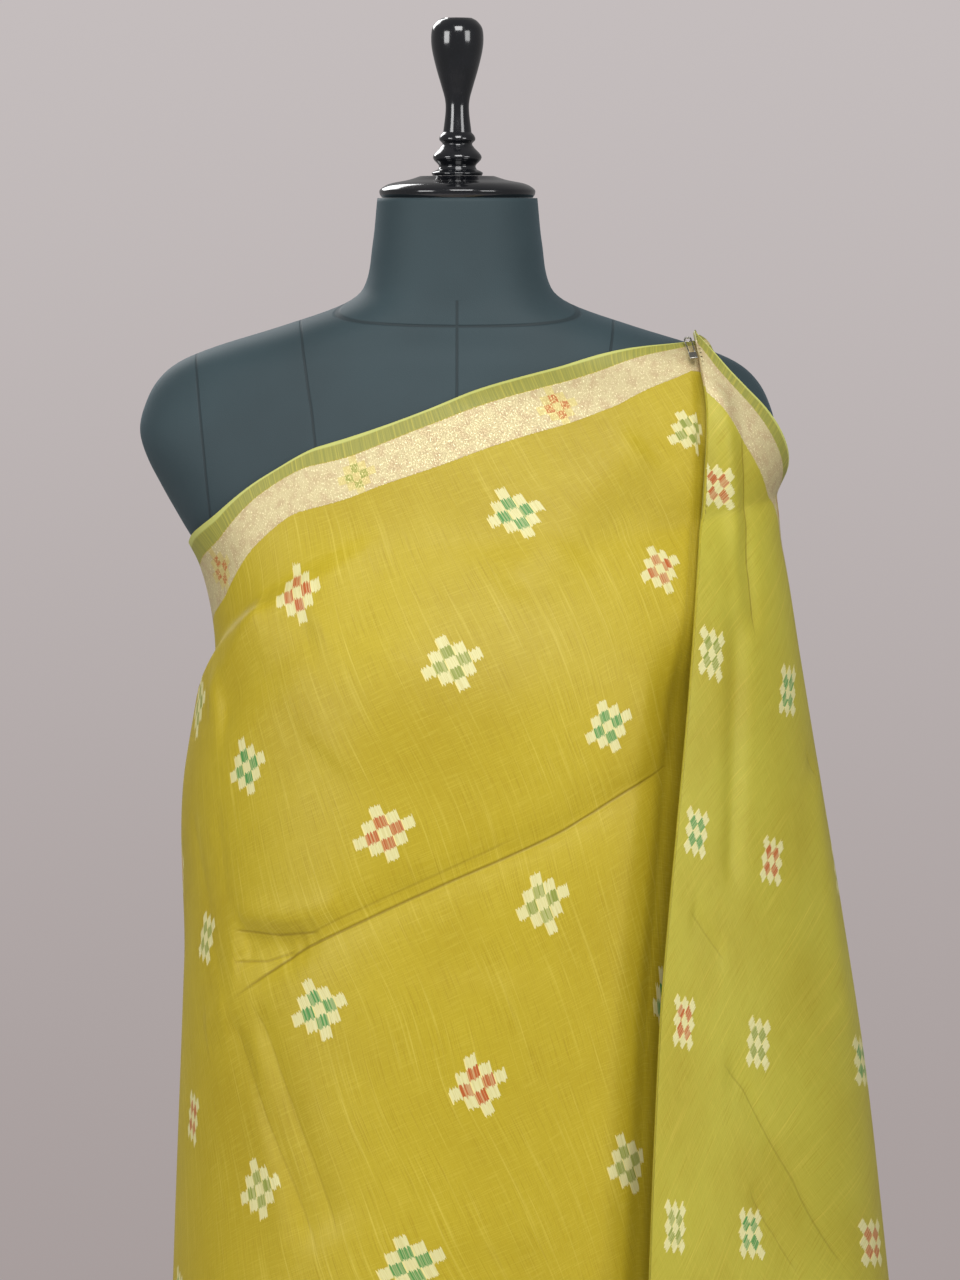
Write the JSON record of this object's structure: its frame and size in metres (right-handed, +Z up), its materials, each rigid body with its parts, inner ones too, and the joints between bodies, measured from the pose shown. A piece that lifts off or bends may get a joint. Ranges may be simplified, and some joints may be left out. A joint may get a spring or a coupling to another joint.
{
  "type": "tussar silk saree on a dress form",
  "caption": "Mustard silk saree with a metallic border and small woven diamonds, pleated, wrapped and pinned over one shoulder of a black dress form on a pole stand.",
  "frame": {"origin": "centre of the stand's foot at floor level, under the pole", "axes": "+Z up, -Y the way the form faces, +X towards the form's left shoulder, where the cloth is pinned"},
  "size_m": [0.5394, 0.433, 1.6352],
  "materials": {
    "silk": "slubbed wild silk with a soft sheen, a metallic thread border and ikat-edged diamonds",
    "form_cover": "black jersey, matte",
    "lacquer": "gloss black",
    "stand_steel": "satin black",
    "pin_steel": "bright drawn wire"
  },
  "bodies": {
    "root": {"saree_cloth": "silk", "form_torso": "form_cover", "neck_cap": "lacquer", "top_knob": "lacquer", "stand_pole": "stand_steel", "stand_foot": "stand_steel", "shoulder_pin": "pin_steel"}
  },
  "joints": []
}
